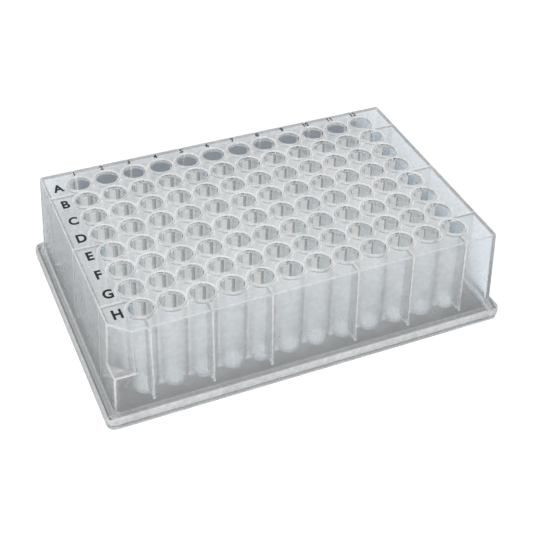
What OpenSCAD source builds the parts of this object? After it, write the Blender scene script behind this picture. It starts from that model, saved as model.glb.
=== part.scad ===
// A deep-well plate: one thin-walled plastic moulding with rows of round-bottomed wells
// hanging from a deck, inside a drafted skirt that ends in a stepped base flange.
// Origin: centre of the footprint, on the surface it stands on. Rows run along X, columns along Y.

/* [Plate] */
// Length of the footprint, along a row of wells
base_length = 127.76; // [120:0.01:170]
// Width of the footprint, along a column of wells
base_width = 85.48; // [75:0.01:120]
// Height from the base to the well rims
plate_height = 32.5; // [26:0.1:48]
// Corner radius of the footprint
base_corner_r = 2.5; // [1.5:0.1:4]

/* [Wells] */
// Distance between neighbouring wells
pitch = 9; // [8.8:0.01:13.5]
// Least distance from a well's centre to the deck's edge
well_margin = 7.5; // [6.5:0.1:8]
// Width of a well at its rim
well_mouth_d = 7.1; // [5.8:0.05:7.2]
// Wall of a well
well_wall = 0.65; // [0.5:0.05:0.8]
// How much narrower a well is at the foot of its straight wall
well_draft = 0.4; // [0.2:0.05:0.8]
// Height of the rim round each well above the deck
rim_height = 0.4; // [0.2:0.05:0.8]
// Bevel at the mouth of each well
mouth_bevel = 0.25; // [0.1:0.05:0.3]
// Gap from the bottom of the wells to the surface under the plate
well_clearance = 1.2; // [0.6:0.1:4]

/* [Skirt] */
// Wall of the skirt and of the base flange
skirt_wall = 1.1; // [0.8:0.05:1.5]
// Thickness of the deck
deck_thickness = 1.2; // [0.8:0.05:2]
// Inset of the deck's edge from the footprint, at the two ends
end_inset = 3.7; // [3.2:0.05:5]
// Inset of the deck's edge from the footprint, at the two long sides
side_inset = 3.15; // [3:0.05:4]
// How far the skirt leans outward from the deck down to the base
skirt_draft = 1.25; // [0.6:0.05:1.4]
// Radius of the skirt's upright corners, at the deck
skirt_corner_r = 0.8; // [0.6:0.05:1.2]
// Radius of the same corners inside the skirt
inner_corner_r = 0.4; // [0.3:0.05:0.8]
// Radius of the rounded edge round the deck
deck_edge_r = 0.5; // [0.2:0.05:0.5]

/* [Base flange] */
// Height of the lower, slightly recessed band
lower_band = 1.7; // [1:0.1:2.5]
// How far the lower band stands back from the upper one
band_recess = 0.25; // [0.1:0.05:0.4]
// Height of the flange's ledge above the base
ledge_height = 3.9; // [3:0.1:5]
// Rise of the sloping shoulder from the ledge to the skirt
shoulder_rise = 1.1; // [0.6:0.1:1.5]
// Width of that shoulder
shoulder_width = 1.1; // [0.6:0.1:1.4]
// Radius of the rounded edge round the flange
flange_edge_r = 0.4; // [0.2:0.05:0.5]

/* [Marker corner] */
// Length of the bevel that marks one corner, measured along the deck's edges
marker_bevel = 5.4; // [3:0.1:6]
// Height of the bevel's ledge above the base
marker_ledge = 16.8; // [12:0.1:20]
// Width of the pip that stands on the ledge
pip_d = 1; // [0.6:0.1:1.2]
// Height of the pip
pip_height = 0.3; // [0.2:0.05:0.6]

/* [Ribs and webs] */
// Thickness of the ribs between the skirt and the outer wells
rib_thickness = 0.8; // [0.6:0.05:1.2]
// Height of the ribs' lower ends above the base
rib_bottom = 6; // [5:0.1:8]
// Thickness of the webs that join neighbouring wells
web_thickness = 2; // [1.2:0.1:2.6]
// Height of the webs' lower ends above the base
web_bottom = 3; // [2:0.1:5]

/* [Hidden] */

// Facets of the round shapes and of the rounded upright corners, and steps round a rounded edge
round_facets = 48;
corner_facets = 32;
edge_steps = 3;
// Overrun of every cut past the face that it opens
cut_over = 1;

// Heights
deck_top = plate_height - rim_height;
deck_under = deck_top - deck_thickness;
deck_middle = deck_top - deck_thickness / 2;
skirt_foot = ledge_height + shoulder_rise;

// Outlines of the deck, of the skirt's foot and of the marker corner's ledge
deck_length = base_length - 2 * end_inset;
deck_width = base_width - 2 * side_inset;
foot_lean = skirt_lean(skirt_foot);
foot_length = deck_length + 2 * foot_lean;
foot_width = deck_width + 2 * foot_lean;
ledge_lean = skirt_lean(marker_ledge);
ledge_side = marker_bevel + 2 * ledge_lean;

// As many wells each way as the deck holds
columns = floor((deck_length - 2 * well_margin) / pitch) + 1;
rows = floor((deck_width - 2 * well_margin) / pitch) + 1;
grid_length = (columns - 1) * pitch;
grid_width = (rows - 1) * pitch;

// Well radii at the mouth and at the foot of the straight wall, inside and outside
mouth_r = well_mouth_d / 2;
foot_r = mouth_r - well_draft / 2;
outer_mouth_r = mouth_r + well_wall;
outer_foot_r = foot_r + well_wall;
bowl_z = well_clearance + outer_foot_r;

// Every second column from each end carries a rib to the skirt
side_ribs = [for (c = [0 : 2 : columns / 2 - 1]) each [c, columns - 1 - c]];
// A rib on each short side lies after the first row, in the middle and before the last row
end_ribs = [0.5, (rows - 1) / 2, rows - 1.5];

// How far the skirt stands out past the deck's edge at the height z
function skirt_lean(z) = skirt_draft * (deck_top - z) / deck_top;

// How high the step i round an edge of radius r lies, and how far it has drawn in
function edge_rise(r, i) = r * sin(90 * i / edge_steps);
function edge_draw(r, i) = r * (1 - cos(90 * i / edge_steps));

function column_x(c) = c * pitch - grid_length / 2;
function row_y(r) = grid_width / 2 - r * pitch;

module at_wells() {
    for (c = [0 : columns - 1], r = [0 : rows - 1])
        translate([column_x(c), row_y(r), 0])
            children();
}

// An upright post from radius r0 to r1, whose top edge is rounded by edge_r
module corner_post(height, r0, r1, edge_r) {
    straight = height - edge_r;
    cylinder(h = straight, r1 = r0, r2 = r1);
    if (edge_r > 0)
        for (i = [1 : edge_steps])
            translate([0, 0, straight + edge_rise(edge_r, i - 1)])
                cylinder(h = edge_rise(edge_r, i) - edge_rise(edge_r, i - 1),
                    r1 = r1 - edge_draw(edge_r, i - 1), r2 = r1 - edge_draw(edge_r, i));
}

// A block from z0 up to z1 with round upright corners. Its size is the one at z0, its sides lean
// in or out by the difference of the two corner radii, and edge_r rounds its top edge.
module drafted_block(z0, z1, length, width, corner_r0, corner_r1, edge_r = 0) {
    translate([0, 0, z0])
        hull()
            for (x = [-1, 1], y = [-1, 1])
                translate([x * (length / 2 - corner_r0), y * (width / 2 - corner_r0), 0])
                    corner_post(z1 - z0, corner_r0, corner_r1, edge_r, $fn = corner_facets);
}

// The upright prism cut from one corner of a block, inset moves its slanting face inward
module corner_prism(z0, inset) {
    reach = marker_bevel + inset * sqrt(2);
    translate([-deck_length / 2, -deck_width / 2, z0])
        linear_extrude(height = plate_height)
            polygon([
                [-base_width, reach + base_width],
                [reach + base_width, -base_width],
                [-base_width, -base_width]
            ]);
}

// The cut that takes off the sharp edge between the deck and the marker corner's bevel
module bevel_edge() {
    middle = [(marker_bevel - deck_length) / 2, (marker_bevel - deck_width) / 2, deck_top];
    translate(middle)
        rotate([45, 0, -45])
            cube([2 * marker_bevel, deck_edge_r, deck_edge_r], center = true);
}

module pip() {
    translate([ledge_side / 3 - ledge_lean - deck_length / 2, ledge_side / 3 - ledge_lean - deck_width / 2,
            marker_ledge - pip_height])
        cylinder(h = 2 * pip_height, d = pip_d, $fn = corner_facets);
}

module skirt_outside() {
    difference() {
        drafted_block(skirt_foot, deck_top, foot_length, foot_width,
            skirt_corner_r + foot_lean, skirt_corner_r, deck_edge_r);
        corner_prism(marker_ledge, 0);
        bevel_edge();
    }
    pip();
}

module flange_outside() {
    recess = 2 * band_recess;
    spread = 2 * shoulder_width;
    corner_r = skirt_corner_r + foot_lean;
    drafted_block(0, lower_band, base_length - recess, base_width - recess, base_corner_r, base_corner_r);
    drafted_block(lower_band, ledge_height, base_length, base_width,
        base_corner_r, base_corner_r, flange_edge_r);
    drafted_block(ledge_height, skirt_foot, foot_length + spread, foot_width + spread,
        corner_r + shoulder_width, corner_r);
}

// The hollow under the deck, one wall inside the flange and the skirt
module hollow() {
    flange_wall = 2 * (band_recess + skirt_wall);
    inner_length = foot_length - 2 * skirt_wall;
    inner_width = foot_width - 2 * skirt_wall;
    spread = 2 * shoulder_width;
    corner_r = inner_corner_r + foot_lean;
    flange_top = ledge_height - skirt_wall;
    drafted_block(-cut_over, flange_top, base_length - flange_wall, base_width - flange_wall,
        base_corner_r, base_corner_r);
    drafted_block(flange_top, skirt_foot, inner_length + spread, inner_width + spread,
        corner_r + shoulder_width, corner_r);
    difference() {
        drafted_block(skirt_foot, deck_under, inner_length, inner_width,
            corner_r, inner_corner_r + skirt_lean(deck_under));
        corner_prism(marker_ledge - skirt_wall, skirt_wall);
    }
}

module shell() {
    difference() {
        union() {
            skirt_outside();
            flange_outside();
        }
        hollow();
    }
}

module well_outside() {
    translate([0, 0, bowl_z]) {
        cylinder(h = plate_height - bowl_z, r1 = outer_foot_r, r2 = outer_mouth_r);
        sphere(r = outer_foot_r);
    }
}

module well_inside() {
    wall_height = plate_height - bowl_z;
    over_r = mouth_r + cut_over * (mouth_r - foot_r) / wall_height;
    translate([0, 0, bowl_z]) {
        cylinder(h = wall_height + cut_over, r1 = foot_r, r2 = over_r);
        sphere(r = foot_r);
    }
    translate([0, 0, plate_height - 2 * mouth_bevel])
        cylinder(h = 3 * mouth_bevel, r1 = mouth_r - mouth_bevel, r2 = mouth_r + 2 * mouth_bevel);
}

// Bars along every row and column of wells, which the wells then pierce
module webs() {
    height = deck_middle - web_bottom;
    for (r = [0 : rows - 1])
        translate([-grid_length / 2, row_y(r) - web_thickness / 2, web_bottom])
            cube([grid_length, web_thickness, height]);
    for (c = [0 : columns - 1])
        translate([column_x(c) - web_thickness / 2, -grid_width / 2, web_bottom])
            cube([web_thickness, grid_width, height]);
}

// Ribs across the plate's edge, from the outer wells into the skirt's wall
module ribs() {
    height = deck_middle - rib_bottom;
    side_reach = deck_width - skirt_wall;
    end_reach = deck_length - skirt_wall;
    for (c = side_ribs, side = [-1, 1])
        translate([column_x(c) - rib_thickness / 2, side > 0 ? grid_width / 2 : -side_reach / 2, rib_bottom])
            cube([rib_thickness, (side_reach - grid_width) / 2, height]);
    for (r = end_ribs, side = [-1, 1])
        translate([side > 0 ? grid_length / 2 : -end_reach / 2, row_y(r) - rib_thickness / 2, rib_bottom])
            cube([(end_reach - grid_length) / 2, rib_thickness, height]);
}

module well_plate() {
    color([0.80, 0.84, 0.86, 0.6])
        difference() {
            union() {
                shell();
                webs();
                ribs();
                at_wells()
                    well_outside($fn = round_facets);
            }
            at_wells()
                well_inside($fn = round_facets);
        }
}

well_plate();
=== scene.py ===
# %% [markdown]
# # A deep well plate in natural polypropylene
#
# This lesson dresses one finished CAD part: a tray of 96 round-bottomed wells that laboratories
# fill, freeze and store samples in. The real thing is a single injection moulding, shot in one go
# from polypropylene pellets with no pigment, so there is nothing to assemble. What makes it look
# like itself is how light passes through thin milky plastic, and that is most of the work below.
#
# The steps are: load the fixed part, set down its main sizes, place the camera, lay the floor,
# hang the lamps, build the plastic, print the letters and numbers, and set the light paths.

# %% [markdown]
# ## Load the part
#
# The moulding was made exactly, in millimetres, in a CAD program. Remodelling it with a
# subdivision surface is possible, but 96 drafted wells and their webs would lose their accuracy.
# So the part comes in as it is, in metres, and its mesh is never touched: only its material
# changes.

# %% Load the fixed part
import math

import bpy
from mathutils import Matrix, Vector


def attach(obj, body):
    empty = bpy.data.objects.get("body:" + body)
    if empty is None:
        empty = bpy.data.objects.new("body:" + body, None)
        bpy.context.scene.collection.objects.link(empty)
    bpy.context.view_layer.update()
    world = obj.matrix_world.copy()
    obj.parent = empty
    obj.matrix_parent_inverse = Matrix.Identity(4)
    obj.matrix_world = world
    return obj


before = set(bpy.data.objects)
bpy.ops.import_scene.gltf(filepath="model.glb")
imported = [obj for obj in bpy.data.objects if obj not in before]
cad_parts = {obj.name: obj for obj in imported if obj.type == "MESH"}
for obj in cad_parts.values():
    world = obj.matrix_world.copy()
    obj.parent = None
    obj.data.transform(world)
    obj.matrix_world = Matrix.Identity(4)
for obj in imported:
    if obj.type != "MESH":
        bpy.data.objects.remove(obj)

MM = 0.001
scene = bpy.context.scene
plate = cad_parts["well_plate"]
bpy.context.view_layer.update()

# %% [markdown]
# ## The part's main sizes
#
# A material can only whiten an edge or a rib if it knows where that edge is. These are the sizes
# of the moulding that the material and the print below need, in metres. Each is a design size,
# such as the distance between two wells, so one line here moves everything that depends on it.

# %% The part's main sizes
PITCH = 9 * MM
COLUMNS, ROWS = 12, 8
FIRST_COLUMN_X = -49.5 * MM
FIRST_ROW_Y = 31.5 * MM
BORE_RADIUS = 3.55 * MM
DECK_Z = 32.1 * MM
DECK_UNDER_Z = 30.9 * MM
DECK_HALF_LENGTH = 60.18 * MM
DECK_HALF_WIDTH = 39.59 * MM
SKIRT_LEAN = 1.25 / 32.1
LEDGE_Z = 16.8 * MM
RIB_FOOT_Z = 6.0 * MM
FLANGE_Z = 3.9 * MM
STEP_Z = 1.7 * MM
MARKER_BEVEL = 5.4 * MM
print("wells:", COLUMNS * ROWS, "at", round(PITCH / MM, 1), "mm pitch")

# %% [markdown]
# ## Four small helpers
#
# Colours are given as sRGB hex values, but Blender's sockets hold linear light, so one
# function turns them. One function starts an empty material. One function adds a node: an input
# that is given another node or a socket is linked to it, and an input that is given a number or a
# colour holds it. Every material below is built with those alone.
#
# The last one tells the rays that are seen from the rays that light things. The card and the
# world both use it, to look white without lighting the plate.

# %% Helpers for colours, materials and nodes
def linear(hex_colour):
    """An sRGB hex colour as linear red, green, blue and alpha."""
    parts = [int(hex_colour[i:i + 2], 16) / 255 for i in (1, 3, 5)]
    return (*[p / 12.92 if p <= 0.04045 else ((p + 0.055) / 1.055) ** 2.4 for p in parts], 1.0)


def new_material(name):
    """An empty material with that name, and its node tree."""
    material = bpy.data.materials.new(name)
    material.use_nodes = True
    material.node_tree.nodes.clear()
    return material, material.node_tree


def add_node(tree, kind, inputs=None, **settings):
    """Adds a node with its settings, linked inputs and input values."""
    node = tree.nodes.new(kind)
    for name, value in settings.items():
        setattr(node, name, value)
    for name, value in (inputs or {}).items():
        if isinstance(value, bpy.types.Node):
            value = value.outputs[0]
        if isinstance(value, bpy.types.NodeSocket):
            tree.links.new(value, node.inputs[name])
        else:
            node.inputs[name].default_value = value
    return node


def seen_rays(tree):
    """1 for a ray from the camera, or one that came off or through a surface, and else 0."""
    light_path = add_node(tree, "ShaderNodeLightPath")
    camera_or_glossy = add_node(tree, "ShaderNodeMath", {0: light_path.outputs["Is Camera Ray"],
                                1: light_path.outputs["Is Glossy Ray"]}, operation="ADD")
    return add_node(tree, "ShaderNodeMath", {0: camera_or_glossy,
                    1: light_path.outputs["Is Transmission Ray"]}, operation="ADD", use_clamp=True)


print("mid grey #808080 is", round(linear("#808080")[0], 3), "in linear light")

# %% [markdown]
# ## The camera
#
# A plate like this is best seen with a long lens, from about the eye height of a person sitting
# at the bench, with the marker corner towards the viewer. The camera is placed by the direction
# it looks from: an azimuth round the plate, an elevation above the bench, a distance, and a small
# roll. Building its three axes by hand, instead of turning the camera by eye, keeps the view
# exact and easy to change. The lens shift slides the frame without turning the camera, so upright
# edges keep their lean.

# %% The camera
AZIMUTH, ELEVATION, ROLL = (math.radians(a) for a in (-25.302, 34.653, 2.259))
DISTANCE = 431.88 * MM
LOOKS_AT = Vector((36.92, 55.7, 0)) * MM

backward = Vector((math.sin(AZIMUTH) * math.cos(ELEVATION),
                   -math.cos(AZIMUTH) * math.cos(ELEVATION), math.sin(ELEVATION)))
level = (-backward).cross(Vector((0, 0, 1))).normalized()
upward = level.cross(-backward)
right = level * math.cos(ROLL) + upward * math.sin(ROLL)
top = upward * math.cos(ROLL) - level * math.sin(ROLL)

lens = bpy.data.cameras.new("camera")
lens.sensor_width = 36
lens.lens = 78.02
lens.shift_x, lens.shift_y = -0.0511, -0.1826
lens.clip_start, lens.clip_end = 0.01, 30
camera = bpy.data.objects.new("camera", lens)
scene.collection.objects.link(camera)
camera.matrix_world = (Matrix.Translation(LOOKS_AT + backward * DISTANCE)
                       @ Matrix((right, top, backward)).transposed().to_4x4())
scene.camera = camera
print("camera", round(DISTANCE / MM), "mm away,", round(lens.lens, 1), "mm lens")

# %% [markdown]
# ## The floor
#
# The plate stands on plain white card. A plane is enough for a floor that is only ever seen from
# above, but a real paper sweep curves up behind the object so that a low camera never meets the
# floor's far edge. Here that is not needed: the world behind it is white too.
#
# The card is a pale matt surface that keeps the plate's shadow. Under studio lamps white card
# reads as pure white, so the material adds a little light of its own, but only for rays from the
# camera and for rays that come off or through the plastic. None of it lights the plate. A fine
# relief gives it the tooth of uncoated card. It lies a hair below the plate, so that the two never
# share a plane.

# %% The floor and its material
FLOOR_SIZE, FLOOR_DROP, CARD_GLOW = 12, 0.2 * MM, 0.05
bpy.ops.object.select_all(action="DESELECT")
bpy.ops.mesh.primitive_plane_add(size=FLOOR_SIZE, location=(0, 0, -FLOOR_DROP))
floor = bpy.context.object
floor.name = "floor"

card, tree = new_material("white_matt_card")
glow = add_node(tree, "ShaderNodeMath", {0: seen_rays(tree), 1: CARD_GLOW}, operation="MULTIPLY")
place = add_node(tree, "ShaderNodeTexCoord").outputs["Object"]
fibres = add_node(tree, "ShaderNodeTexNoise",
                  {"Vector": place, "Scale": 1 / (0.6 * MM), "Detail": 3.0})
relief = add_node(tree, "ShaderNodeBump",
                  {"Height": fibres, "Strength": 0.05, "Distance": 0.05 * MM})
paper = add_node(tree, "ShaderNodeBsdfDiffuse",
                 {"Color": linear("#f6f6f6"), "Roughness": 0.0, "Normal": relief})
shine = add_node(tree, "ShaderNodeEmission", {"Color": linear("#f0f4fa"), "Strength": glow})
both = add_node(tree, "ShaderNodeAddShader", {0: paper, 1: shine})
add_node(tree, "ShaderNodeOutputMaterial", {"Surface": both})
floor.data.materials.append(card)
print("floor laid at", round(floor.location.z / MM, 2), "mm")

# %% [markdown]
# ## The world
#
# The world is the room round the table, and it does two jobs. It sends a dim, slightly cool light
# on everything, as white studio walls do. And it is the white backdrop, but only for the rays that
# are seen, so that white adds no light to the plate.

# %% The world
world = bpy.data.worlds.new("studio")
scene.world = world
world.use_nodes = True
tree = world.node_tree
tree.nodes.clear()
ROOM_LIGHT = 0.17
room = add_node(tree, "ShaderNodeBackground",
                {"Color": linear("#dbe7fb"), "Strength": ROOM_LIGHT})
backdrop = add_node(tree, "ShaderNodeBackground", {"Color": linear("#ffffff"), "Strength": 1.0})
walls = add_node(tree, "ShaderNodeMixShader", {0: seen_rays(tree), 1: room, 2: backdrop})
add_node(tree, "ShaderNodeOutputWorld", {"Surface": walls})
print("room light", ROOM_LIGHT)

# %% [markdown]
# ## The lamps
#
# A translucent part is lit in two ways in a studio. Large soft boxes light the plastic itself at
# a plain level, so that a white surface renders as white: one from the front left, which is the
# main light, one overhead and one low behind, which shows the milk in the walls. The table is lit
# apart from it, from the camera's side, so that the table comes out white round the part while
# the floor inside and just behind the part stays in shadow. That dark floor, seen through the
# walls, is what gives the clear parts of the moulding their grey.
#
# Blender can do the same with light linking: each lamp has a collection of what it lights and one
# of what blocks it. The soft boxes light the plate and its print, and only the floor blocks them.
# Light inside real milky plastic spreads from wall to wall and reaches the inner wells, and a
# path tracer would need thousands of bounces for that. Letting the soft boxes through the walls
# stands in for it.
#
# The table lamps light the floor alone, and the plate throws its shadow there. They are four suns
# in a fan. A single one would leave one hard shadow on one side; the fan leaves a soft one behind
# the whole plate, so that its left and right ends are seen against the same dark floor. No lamp
# shows through the plastic as a white square.

# %% The lamps
lit_object = bpy.data.collections.new("lit_object")
lit_object.objects.link(plate)
table_only = bpy.data.collections.new("table_only")
table_only.objects.link(floor)


def towards(azimuth, elevation):
    """The direction of a lamp seen from the plate. Azimuth 0 is in front of row H."""
    a, e = math.radians(azimuth), math.radians(elevation)
    return Vector((math.sin(a) * math.cos(e), -math.cos(a) * math.cos(e), math.sin(e)))


def hang_lamp(name, kind, direction, distance, energy, lights,
              blockers=None, shines=True, **settings):
    """Hangs a lamp that faces the plate, lights one collection and is blocked by another."""
    light = bpy.data.lights.new(name, kind)
    light.energy = energy
    for setting, value in settings.items():
        setattr(light, setting, value)
    lamp = bpy.data.objects.new(name, light)
    scene.collection.objects.link(lamp)
    lamp.location = direction * distance
    lamp.rotation_euler = direction.to_track_quat("Z", "Y").to_euler()
    lamp.light_linking.receiver_collection = lights
    if blockers:
        lamp.light_linking.blocker_collection = blockers
    lamp.visible_transmission = False
    lamp.visible_glossy = shines
    print(name, energy, "at", [round(v, 2) for v in lamp.location])


hang_lamp("front_soft_box", "AREA", towards(-30, 38), 1.2, 10.8, lit_object, table_only,
          size=0.5)
hang_lamp("top_soft_box", "AREA", towards(180, 76), 1.1, 6.5, lit_object, table_only, size=0.8)
hang_lamp("back_soft_box", "AREA", towards(160, 35), 1.2, 5, lit_object, table_only,
          shines=False, size=0.5)
TABLE_LAMPS, FAN_TURN, FAN_DROP, SUN_WIDTH = 4, 5.5, 0.8, math.radians(3)
for turn in range(TABLE_LAMPS):
    direction = towards(-12 - FAN_TURN * turn, 35.6 - FAN_DROP * turn)
    hang_lamp(f"table_lamp_{turn + 1}", "SUN", direction, 1.0, 1.4, table_only, angle=SUN_WIDTH)

# %% [markdown]
# ## Natural polypropylene
#
# "Natural" means uncoloured. The plastic is a mass of tiny crystals in a clear matrix: a thin
# wall lets most light straight on and sends a little of it back white, while a thick place, such
# as a rim, a rib seen on its edge or the rounded edge of the deck, sends back much more and looks
# white. It could be built as a volume full of fog, as in nature, but light would die out
# in the inner wells before it came back, and it would take minutes to render.
#
# So it is built at the surface, from two shaders. One is clear plastic that bends and blurs what
# is behind it. The other is milk: a matt white that shows light from both sides. A number called
# milk share says how much of the milk shows. It grows where the moulding is thick, and it also
# holds painted light: highlights on rims, ribs and edges, and shade low on the plate, under the
# flange's upper band and on inner faces.
#
# The first step finds, at each point, how far it is from the nearest well's centre line, and how
# far out it is along the leaning skirt.

# %% Where on the moulding
polypropylene, tree = new_material("natural_polypropylene_moulded")
place = add_node(tree, "ShaderNodeTexCoord").outputs["Object"]
x, y, z = add_node(tree, "ShaderNodeSeparateXYZ", {"Vector": place}).outputs
along = add_node(tree, "ShaderNodeMath", {0: x}, operation="ABSOLUTE")
across = add_node(tree, "ShaderNodeMath", {0: y}, operation="ABSOLUTE")

shifted_x = add_node(tree, "ShaderNodeMath", {0: x, 1: -FIRST_COLUMN_X}, operation="ADD")
shifted_y = add_node(tree, "ShaderNodeMath", {0: y, 1: FIRST_ROW_Y}, operation="ADD")
off_column = add_node(tree, "ShaderNodeMath", {0: shifted_x, 1: PITCH / 2}, operation="PINGPONG")
off_row = add_node(tree, "ShaderNodeMath", {0: shifted_y, 1: PITCH / 2}, operation="PINGPONG")
from_axis = add_node(tree, "ShaderNodeCombineXYZ", {"X": off_column, "Y": off_row})
radius = add_node(tree, "ShaderNodeVectorMath", {0: from_axis},
                  operation="LENGTH").outputs["Value"]

lean = add_node(tree, "ShaderNodeMath", {0: z, 1: SKIRT_LEAN, 2: -DECK_Z * SKIRT_LEAN},
                operation="MULTIPLY_ADD")
skirt_along = add_node(tree, "ShaderNodeMath", {0: along, 1: lean}, operation="ADD")
skirt_across = add_node(tree, "ShaderNodeMath", {0: across, 1: lean}, operation="ADD")
skirt_marker = add_node(tree, "ShaderNodeMath", {0: x, 1: y}, operation="ADD")
print("nodes that find the place:", len(tree.nodes))

# %% [markdown]
# ### Masks for the thick places and the painted light
#
# A mask is 1 on one kind of place and 0 elsewhere. Painting them by hand on an unwrapped mesh is
# the usual way, but on a part that follows a grid it is cleaner to work them out from the sizes:
# a mask stays sharp at any zoom and follows the grid. Each is the product of a few tests, each of
# which asks whether a number is within some distance of another, so one helper multiplies them.
# A second one writes such a test from its two ends, and `ON` and `OFF` test another mask.
#
# The first masks are the bores and the webs, the flat walls that tie each well to the next.

# %% A mask from a few tests
ON, OFF = (1.0, 0.5), (0.0, 0.5)


def band(value, low, high):
    """The test that a value lies from low to high, both in millimetres."""
    return value, (low + high) / 2 * MM, (high - low) / 2 * MM


def all_near(tree, *tests):
    """1 where every value is within reach of its middle. A test is (value, middle, reach)."""
    mask = None
    for value, middle, reach in tests:
        near = add_node(tree, "ShaderNodeMath", {0: value, 1: middle, 2: reach},
                        operation="COMPARE")
        mask = near if mask is None else add_node(tree, "ShaderNodeMath", {0: mask, 1: near},
                                                  operation="MULTIPLY")
    return mask


WEB_HALF = 1.05 * MM
in_field = [(along, 0.0, COLUMNS / 2 * PITCH), (across, 0.0, ROWS / 2 * PITCH)]
under_deck = (z, 0.0, DECK_UNDER_Z)
bore = all_near(tree, (radius, 0.0, BORE_RADIUS + 0.07 * MM), *in_field)
row_web = all_near(tree, (off_row, 0.0, WEB_HALF), (along, 0.0, -FIRST_COLUMN_X), under_deck,
                   in_field[1])
column_web = all_near(tree, (off_column, 0.0, WEB_HALF), (across, 0.0, FIRST_ROW_Y), under_deck,
                      in_field[0])
web = add_node(tree, "ShaderNodeMath", {0: row_web, 1: column_web}, operation="MAXIMUM")
print("masks for the bores and webs use", len(tree.nodes), "nodes so far")

# %% [markdown]
# The skirt is four leaning faces and the marker bevel, which cuts one corner off at 45 degrees, so
# it is found where x plus y is constant. A point counts as on a face within `EDGE` of it.

# %% Masks for the skirt
EDGE = 0.55 * MM
bevel_line = -(DECK_HALF_LENGTH + DECK_HALF_WIDTH - MARKER_BEVEL)
on_bevel = (skirt_marker, bevel_line, 0.5 * MM)
bevel_height = band(z, 16.5, 32.5)
end_face = all_near(tree, (skirt_along, DECK_HALF_LENGTH, EDGE))
side_face = all_near(tree, (skirt_across, DECK_HALF_WIDTH, EDGE))
bevel_face = all_near(tree, on_bevel, bevel_height)
outer_faces = add_node(tree, "ShaderNodeMath", {0: end_face, 1: side_face}, operation="MAXIMUM")
skirt = add_node(tree, "ShaderNodeMath", {0: outer_faces, 1: bevel_face}, operation="MAXIMUM")
print("masks for the skirt built, nodes so far:", len(tree.nodes))

# %% [markdown]
# The ribs run from the outer wells to the skirt. On the long sides they stand at columns 1, 3, 5,
# 8, 10 and 12, which lie 13.5, 31.5 and 49.5 mm from the middle, so a folded coordinate finds all
# six with one test. On the short sides they stand in the middle and 27 mm to each side of it.
#
# Where a rib meets the skirt the plastic is thick and its root shows through as a pale line, a
# little narrower than the rib. Its top, in the deck, shows the same way. Its lower end is thick on
# every side, and the glint there is a painted highlight. So each of the three gets a mask of its
# own. The plate is 32.5 mm high, so a band that ends at 33 mm has no upper end.

# %% Masks for the ribs
RIB_HALF, ROOT_HALF = 0.42 * MM, 0.25 * MM
in_deck = band(z, 30.8, 33)
above_foot = band(z, 5.8, 33)
past_first_rib = add_node(tree, "ShaderNodeMath", {0: along, 1: -1.5 * PITCH}, operation="ADD")
off_rib_x = add_node(tree, "ShaderNodeMath", {0: past_first_rib, 1: PITCH}, operation="PINGPONG")
off_rib_y = add_node(tree, "ShaderNodeMath", {0: y, 1: 1.5 * PITCH}, operation="PINGPONG")
side_rib = all_near(tree, (off_rib_x, 0.0, RIB_HALF), band(across, 34.9, 44.1), above_foot)
end_rib = all_near(tree, (off_rib_y, 0.0, RIB_HALF), band(along, 53.4, 66.6), above_foot)
rib = add_node(tree, "ShaderNodeMath", {0: side_rib, 1: end_rib}, operation="MAXIMUM")
off_rib = add_node(tree, "ShaderNodeMath", {0: off_rib_x, 1: off_rib_y}, operation="MINIMUM")
rib_root = all_near(tree, (rib, *ON), (skirt, *ON), (off_rib, 0.0, ROOT_HALF), band(z, 5, 31))
rib_top = all_near(tree, (rib, *ON), in_deck)
# Painted highlight: the glint at each rib's lower end.
rib_end = all_near(tree, (rib, *ON), (z, RIB_FOOT_Z, 0.5 * MM))
print("ribs: six columns on each long side, three rows on each short side")

# %% [markdown]
# The deck is a wide plain wall, a third milk. Each well has a raised rim on it, and at the bore
# the rim has a small bevel. The rim's milk is partly its thicker plastic and partly a painted
# highlight, and the thin bright ring at the bevel is a painted highlight. Under the deck stand the
# tubes of the wells, which show through the skirt as soft columns. Their round feet lie deepest in
# the mould and cool first, so they are clearer. The inner walls just under the deck are the
# clearest of all, and a well's mouth shows dark there.

# %% Masks for the deck and the wells
deck = all_near(tree, in_deck, (bore, *OFF))
# Painted highlights: the rim's share is partly thicker plastic, and the mouth's draws the bevel's
# bright ring.
rim = all_near(tree, in_deck, (radius, BORE_RADIUS + 0.6 * MM, 0.5 * MM), *in_field)
mouth_painted_highlight = all_near(tree, band(z, 32.15, 33), (radius, BORE_RADIUS + 0.15 * MM, 0.13 * MM))
inner_wall = all_near(tree, under_deck, band(along, -51, 51), band(across, -33, 33))
well_body = all_near(tree, band(z, 3.4, 26), *in_field)
well_foot = all_near(tree, band(z, 0.7, 3.4), *in_field)
print("masks for the deck and wells built, nodes so far:", len(tree.nodes))

# %% [markdown]
# The flange is the foot of the plate, and the thickest part of it. It has two bands with a step
# between them. The upper band stands out furthest and is almost white. The lower one is set back
# and greyer, which is painted shade, the shade under the upper band. Between the two masks the
# share stays that of a thin wall, which paints a thin dark shadow line along the step. The rounded
# edge over the upper band is the whitest line on the plate, a painted highlight for the light it
# gathers from all round.

# %% Masks for the base flange
# Painted shade: less milk on the lower band and a dark line at the step. Painted highlight: the
# top edge.
upper_band = all_near(tree, (z, (STEP_Z + FLANGE_Z) / 2 + 0.05 * MM,
                             (FLANGE_Z - STEP_Z) / 2 - 0.15 * MM))
lower_band = all_near(tree, (z, STEP_Z / 2 - 0.1 * MM, STEP_Z / 2))
flange_top = (z, FLANGE_Z, 0.3 * MM)
flange_side = all_near(tree, flange_top, band(across, 42.1, 43.3))
flange_end = all_near(tree, flange_top, band(along, 63.2, 64.4))
print("masks for the flange built, nodes so far:", len(tree.nodes))
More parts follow.
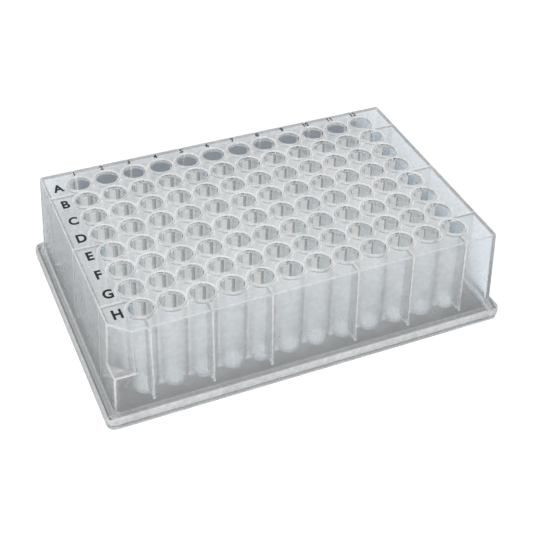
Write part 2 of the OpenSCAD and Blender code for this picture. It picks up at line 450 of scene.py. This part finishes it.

# %% [markdown]
# Where two walls meet, light has more plastic to cross, so every edge of the deck and skirt shows
# as a pale line, and part of that line is a painted highlight along the edge. The upright corners
# of the skirt grow rounder towards the base, from a radius of 0.8 mm to one of 2 mm, so the line
# down a corner leans a little less than the faces do. That is what the two `corner` numbers are
# for: they give back `CORNER_EASE`, 29 hundredths, of the lean.

# %% Masks for the edges of the deck and skirt
CORNER_EASE, CORNER_IN, LINE_HALF = 0.29, 0.23 * MM, 0.25 * MM
# Pale edge lines: partly thicker plastic, partly a painted highlight.
top_edge = (z, DECK_Z, 0.45 * MM)
end_edge = all_near(tree, (skirt_along, DECK_HALF_LENGTH, 0.4 * MM), top_edge)
side_edge = all_near(tree, (skirt_across, DECK_HALF_WIDTH, 0.4 * MM), top_edge)
corner_along = add_node(tree, "ShaderNodeMath", {0: lean, 1: -CORNER_EASE, 2: skirt_along},
                        operation="MULTIPLY_ADD")
corner_across = add_node(tree, "ShaderNodeMath", {0: lean, 1: -CORNER_EASE, 2: skirt_across},
                         operation="MULTIPLY_ADD")
upright = all_near(tree, (corner_along, DECK_HALF_LENGTH - CORNER_IN, LINE_HALF),
                   (corner_across, DECK_HALF_WIDTH - CORNER_IN, LINE_HALF), band(z, 4.9, 32.1))
print("masks for the edges built, nodes so far:", len(tree.nodes))

# %% [markdown]
# The marker bevel has an edge on top, one where it meets each side, and a small ledge at its
# foot. The edges' pale lines are partly thicker plastic and partly painted highlight, and the
# ledge and the glint on its outer rim are painted highlights. All of them lie on or just outside
# the bevel's line, so the rest of the plate is kept out with one more test.

# %% Masks for the marker bevel
# Painted highlights: the bevel's edge lines in part, the ledge, and the glint on the ledge's rim.
near_marker = (skirt_marker, bevel_line - 4.5 * MM, 5 * MM)
bevel_edge = all_near(tree, on_bevel, top_edge)
bevel_end = all_near(tree, on_bevel, (skirt_along, DECK_HALF_LENGTH, 0.8 * EDGE), bevel_height)
bevel_side = all_near(tree, on_bevel, (skirt_across, DECK_HALF_WIDTH, 0.8 * EDGE), bevel_height)
ledge = all_near(tree, (z, LEDGE_Z + 0.1 * MM, 0.35 * MM), near_marker)
ledge_edge = all_near(tree, (z, LEDGE_Z, 0.3 * MM), (outer_faces, *ON), near_marker)
print("masks for the marker bevel built, nodes so far:", len(tree.nodes))

# %% [markdown]
# ### The milk share
#
# The share starts from that of a thin wall, four hundredths. Each thick place, and each painted
# highlight or shade, then raises it to its own share, and where two meet the larger one wins,
# which is what the maximum does.
#
# Then it is made uneven in three ways. Melted plastic flows in swirls, so a slow noise, a few
# millimetres wide, and a finer one mottle it. Then the share falls from `DECK_END` of itself at
# the deck to `LOW_WALL` of itself at the foot of the skirt: that is painted shade, the walls
# growing darker towards the foot as less light reaches down there. And a surface met from inside
# counts only for `ON_THE_WAY_OUT` of it. A ray on its way out of a wall has met the wall's milk
# once already, on the way in, and the soft boxes reach that inner face through the wall, so this
# is partly painted shade too, for the light the wall holds back.

# %% The milk share
# LOW_WALL and DECK_END set the painted shade by height; ON_THE_WAY_OUT partly paints shade on
# inner faces.
THIN_WALL, LOW_WALL, DECK_END, ON_THE_WAY_OUT = 0.04, 0.58, 1.1, 0.6
# Shares for the thick places, and for the painted highlights and shade.
thick_places_and_painted_light = [
    (deck, 0.32), (rim, 0.58), (mouth_painted_highlight, 0.90), (inner_wall, 0.10), (well_body, 0.46),
    (well_foot, 0.18), (web, 0.68), (rib, 0.24), (rib_root, 0.70), (rib_top, 0.55), (rib_end, 1.0),
    (skirt, 0.31), (upper_band, 0.97), (lower_band, 0.35), (flange_side, 1.0), (flange_end, 1.0),
    (end_edge, 0.70), (side_edge, 0.50), (upright, 0.85), (bevel_edge, 0.60), (bevel_end, 0.65),
    (bevel_side, 0.35), (ledge, 0.45), (ledge_edge, 0.80)]
milk_share = None
for mask, share in thick_places_and_painted_light:
    amount = add_node(tree, "ShaderNodeMath", {0: mask, 1: share}, operation="MULTIPLY")
    milk_share = add_node(tree, "ShaderNodeMath",
                          {0: amount, 1: THIN_WALL if milk_share is None else milk_share},
                          operation="MAXIMUM")
flow = add_node(tree, "ShaderNodeTexNoise",
                {"Vector": place, "Scale": 1 / (9 * MM), "Detail": 2.0})
mottle = add_node(tree, "ShaderNodeTexNoise",
                  {"Vector": place, "Scale": 1 / (1.4 * MM), "Detail": 2.0})
uneven = add_node(tree, "ShaderNodeMath", {0: flow, 1: mottle}, operation="ADD")
uneven = add_node(tree, "ShaderNodeMapRange", {"Value": uneven, "From Min": 0.7, "From Max": 1.3,
                                               "To Min": 0.82, "To Max": 1.18})
# Painted shade: the milk share falls lower on the plate, so the walls grow darker towards the
# foot.
painted_shade_by_height = add_node(tree, "ShaderNodeMapRange", {"Value": z, "From Min": 4 * MM, "From Max": 28 * MM,
                                               "To Min": LOW_WALL, "To Max": DECK_END})
uneven = add_node(tree, "ShaderNodeMath", {0: uneven, 1: painted_shade_by_height}, operation="MULTIPLY")
inside = add_node(tree, "ShaderNodeNewGeometry").outputs["Backfacing"]
# Partly painted shade: a surface met from inside keeps less milk, for the light its wall holds
# back.
way_out_and_painted_shade = add_node(tree, "ShaderNodeMapRange",
                   {"Value": inside, "To Min": 1.0, "To Max": ON_THE_WAY_OUT})
uneven = add_node(tree, "ShaderNodeMath", {0: uneven, 1: way_out_and_painted_shade}, operation="MULTIPLY")
milk_share = add_node(tree, "ShaderNodeMath", {0: milk_share, 1: uneven}, operation="MULTIPLY",
                      use_clamp=True)
print("milk share from", THIN_WALL, "to", max(share for mask, share in thick_places_and_painted_light))

# %% [markdown]
# ### The moulded surface
#
# The cavity side of the mould is spark-eroded, which leaves the skirt and deck satin. The pins
# that form the wells are polished so that samples run off, and leave a glossier bore. So the
# gloss has one roughness in the bores and another elsewhere, with a little noise on it. Spark
# erosion leaves pits about 0.05 mm wide. They are too fine to draw, so the bump is made of pits of
# about half a millimetre, and kept very shallow.
#
# How much a wall blurs what is behind it is a number of its own, `HAZE`. It comes from the
# crystals inside the wall, not from its skin, so a wall may shine and still blur. It is lower
# among the wells, where a ray crosses many walls and each one adds its blur to the last.

# %% Roughness and relief
SATIN, POLISHED = 0.22, 0.07
HAZE, HAZE_AMONG_WELLS = 0.20, 0.12
finish = add_node(tree, "ShaderNodeMapRange", {"Value": bore, "To Min": SATIN, "To Max": POLISHED})
pits = add_node(tree, "ShaderNodeTexNoise",
                {"Vector": place, "Scale": 1 / (0.5 * MM), "Detail": 2.0})
worn = add_node(tree, "ShaderNodeMapRange", {"Value": pits, "To Min": 0.8, "To Max": 1.2})
roughness = add_node(tree, "ShaderNodeMath", {0: finish, 1: worn}, operation="MULTIPLY")
depth = add_node(tree, "ShaderNodeMapRange", {"Value": bore, "To Min": 0.12, "To Max": 0.02})
skin = add_node(tree, "ShaderNodeBump", {"Height": pits, "Strength": depth, "Distance": 0.1 * MM})
among_wells = all_near(tree, under_deck, *in_field)
haze = add_node(tree, "ShaderNodeMapRange",
                {"Value": among_wells, "To Min": HAZE, "To Max": HAZE_AMONG_WELLS})
print("gloss roughness", SATIN, "outside and", POLISHED, "in the bores, haze", HAZE)

# %% [markdown]
# ### Clear plastic and milk, mixed
#
# The clear part is two shaders: a refraction, which lets light through and blurs it by the haze,
# and a glossy one, which mirrors the soft boxes. A Fresnel node says how much of each: a wall
# seen straight on mirrors little, one seen at a glancing angle much. A single Principled shader
# holds both, but with one roughness for the two, and here the blur and the shine differ.
#
# Solid polypropylene has an index of refraction of 1.49. Milky crystals send light through a wall
# in many small steps rather than one clean bend, so the walls bend less than glass would, and 1.3
# looks right here. They break up the mirror image too, so `dulled` lowers it, most of all on the
# outside. The colour is a very pale blue: light that crosses several walls loses a little red.
#
# The milk is a matt shader mixed with a translucent one, which shows the light that falls on the
# far side of the wall. The milk share then mixes clear and milk.

# %% The polypropylene's shaders
CLEAR, MILK = linear("#f5f8fa"), linear("#fcfcfb")
IOR, LIGHT_FROM_BEHIND = 1.3, 0.35
bent = add_node(tree, "ShaderNodeBsdfRefraction", {"Color": CLEAR, "Roughness": haze, "IOR": IOR})
gloss = add_node(tree, "ShaderNodeBsdfAnisotropic",
                 {"Color": linear("#ffffff"), "Roughness": roughness, "Normal": skin})
mirror = add_node(tree, "ShaderNodeFresnel", {"IOR": IOR, "Normal": skin})
dulled = add_node(tree, "ShaderNodeMapRange", {"Value": inside, "To Min": 0.3, "To Max": 0.7})
satin = add_node(tree, "ShaderNodeMath", {0: mirror, 1: dulled}, operation="MULTIPLY")
clear = add_node(tree, "ShaderNodeMixShader", {0: satin, 1: bent, 2: gloss})
front = add_node(tree, "ShaderNodeBsdfDiffuse", {"Color": MILK, "Normal": skin})
behind = add_node(tree, "ShaderNodeBsdfTranslucent", {"Color": MILK, "Normal": skin})
milk = add_node(tree, "ShaderNodeMixShader", {0: LIGHT_FROM_BEHIND, 1: front, 2: behind})
plastic = add_node(tree, "ShaderNodeMixShader", {0: milk_share, 1: clear, 2: milk})
add_node(tree, "ShaderNodeOutputMaterial", {"Surface": plastic})

plate.data.materials.clear()
plate.data.materials.append(polypropylene)
print(polypropylene.name, "has", len(tree.nodes), "nodes")

# %% [markdown]
# ## The print
#
# The rows carry the letters A to H down the left end of the deck, and the columns the numbers 1
# to 12 along the back. They are pad printed: a soft pad lifts ink from an etched plate and presses
# it on, which leaves a film about a hundredth of a millimetre thick. A mask in the plastic's
# material could draw them, but a letter is a shape, so Blender's text tool is the right start.
# Each letter is made as text, turned into a mesh, scaled to its height and placed, and its doubled
# points are merged. The outline is offset outward a little, since ink spreads under the pad, and
# the letter is narrowed, as the type used on plates is.
#
# The film stands a few microns clear of the deck, so that the two surfaces never share a plane.

# %% One printed letter
INK_BOTTOM = DECK_Z + 0.004 * MM
INK_THICKNESS = 0.016 * MM
INK_SPREAD = 0.035
NARROW = 0.82


def print_letter(body, x, y, height):
    """A printed letter, that high and centred on that place on the deck."""
    bpy.ops.object.select_all(action="DESELECT")
    bpy.ops.object.text_add(location=(0, 0, 0))
    letter = bpy.context.object
    letter.data.body = body
    letter.data.size = 1
    letter.data.offset = INK_SPREAD
    letter.data.extrude = 0.5
    letter.data.resolution_u = 4
    bpy.ops.object.convert(target="MESH")
    corners = [Vector(c) for c in letter.bound_box]
    low = Vector(map(min, *corners))
    high = Vector(map(max, *corners))
    scale = height / (high.y - low.y)
    letter.scale = (NARROW * scale, scale, INK_THICKNESS)
    middle = (low + high) / 2
    letter.location = (x - NARROW * scale * middle.x, y - scale * middle.y,
                       INK_BOTTOM + INK_THICKNESS / 2)
    bpy.ops.object.transform_apply(location=True, rotation=True, scale=True)
    bpy.ops.object.mode_set(mode="EDIT")
    bpy.ops.mesh.select_all(action="SELECT")
    bpy.ops.mesh.remove_doubles(threshold=0.001 * MM)
    bpy.ops.mesh.normals_make_consistent(inside=False)
    bpy.ops.object.mode_set(mode="OBJECT")
    return letter


def join_print(name, letters):
    """Joins the letters of one pass of the printing pad into one piece."""
    bpy.ops.object.select_all(action="DESELECT")
    for letter in letters:
        letter.select_set(True)
    bpy.context.view_layer.objects.active = letters[0]
    bpy.ops.object.join()
    piece = bpy.context.object
    piece.name = name
    print(name, "has", len(piece.data.polygons), "faces,",
          [round(v / MM, 2) for v in piece.dimensions], "mm")
    return piece


print("ink film", round(INK_THICKNESS / MM, 3), "mm thick,",
      round((INK_BOTTOM - DECK_Z) / MM, 3), "mm clear of the deck")

# %% [markdown]
# Each set is one pass of the pad, so the letters are joined into one piece and the numbers into
# another. Their places follow from the pitch, so that each mark stands by its own row or column.

# %% The letters and the numbers
LETTER_X, LETTER_DROP, LETTER_HEIGHT = -56.2 * MM, 0.1 * MM, 4.0 * MM
NUMBER_Y, NUMBER_HEIGHT = 37.5 * MM, 2.2 * MM
row_letters = join_print("row_letters", [
    print_letter("ABCDEFGH"[row], LETTER_X, FIRST_ROW_Y - row * PITCH - LETTER_DROP, LETTER_HEIGHT)
    for row in range(ROWS)])
column_numbers = join_print("column_numbers", [
    print_letter(str(column + 1), FIRST_COLUMN_X + column * PITCH, NUMBER_Y, NUMBER_HEIGHT)
    for column in range(COLUMNS)])

# %% [markdown]
# ### The ink
#
# Pad printing ink on polypropylene is a matt black lacquer full of carbon pigment. It is almost
# opaque but not evenly thick: the pad leaves it a touch thinner in places, which shows as a very
# dark grey cloud. The noise is stretched over about a millimetre for that, and a finer one gives
# the dry film its tooth.

# %% The ink's material
ink, tree = new_material("pad_printed_black_lacquer")
place = add_node(tree, "ShaderNodeTexCoord").outputs["Object"]
cloud = add_node(tree, "ShaderNodeTexNoise",
                 {"Vector": place, "Scale": 1 / (1.0 * MM), "Detail": 3.0})
tone = add_node(tree, "ShaderNodeValToRGB", {"Fac": cloud})
tone.color_ramp.elements[0].color = linear("#08090a")
tone.color_ramp.elements[1].color = linear("#1d1f22")
tooth = add_node(tree, "ShaderNodeTexNoise",
                 {"Vector": place, "Scale": 1 / (0.15 * MM), "Detail": 2.0})
dry = add_node(tree, "ShaderNodeMapRange", {"Value": tooth, "To Min": 0.45, "To Max": 0.65})
film = add_node(tree, "ShaderNodeBump", {"Height": tooth, "Strength": 0.2, "Distance": 0.01 * MM})
lacquer = add_node(tree, "ShaderNodeBsdfPrincipled",
                   {"Base Color": tone.outputs["Color"], "Roughness": dry,
                    "Specular IOR Level": 0.15, "Normal": film})
add_node(tree, "ShaderNodeOutputMaterial", {"Surface": lacquer})
for piece in (row_letters, column_numbers):
    piece.data.materials.clear()
    piece.data.materials.append(ink)
    lit_object.objects.link(piece)
    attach(piece, "root")
print("ink on", row_letters.name, "and", column_numbers.name)

# %% [markdown]
# ## Light paths and colour
#
# A ray from the camera crosses many walls, and if it may not go on it ends black. So the
# path tracer gets enough bounces for a row of wells. Caustics, the light patterns that clear
# plastic throws, are left out: the soft boxes already reach every wall, and counting that light
# twice would make the plate glow. The view transform is Standard, which shows colours as written.

# %% Light paths and colour
scene.view_settings.view_transform = "Standard"
scene.cycles.max_bounces = 24
scene.cycles.transmission_bounces = 24
scene.cycles.diffuse_bounces = 4
scene.cycles.glossy_bounces = 8
scene.cycles.transparent_max_bounces = 48
scene.cycles.caustics_refractive = False
scene.cycles.caustics_reflective = False
print("bounces through walls:", scene.cycles.transmission_bounces)
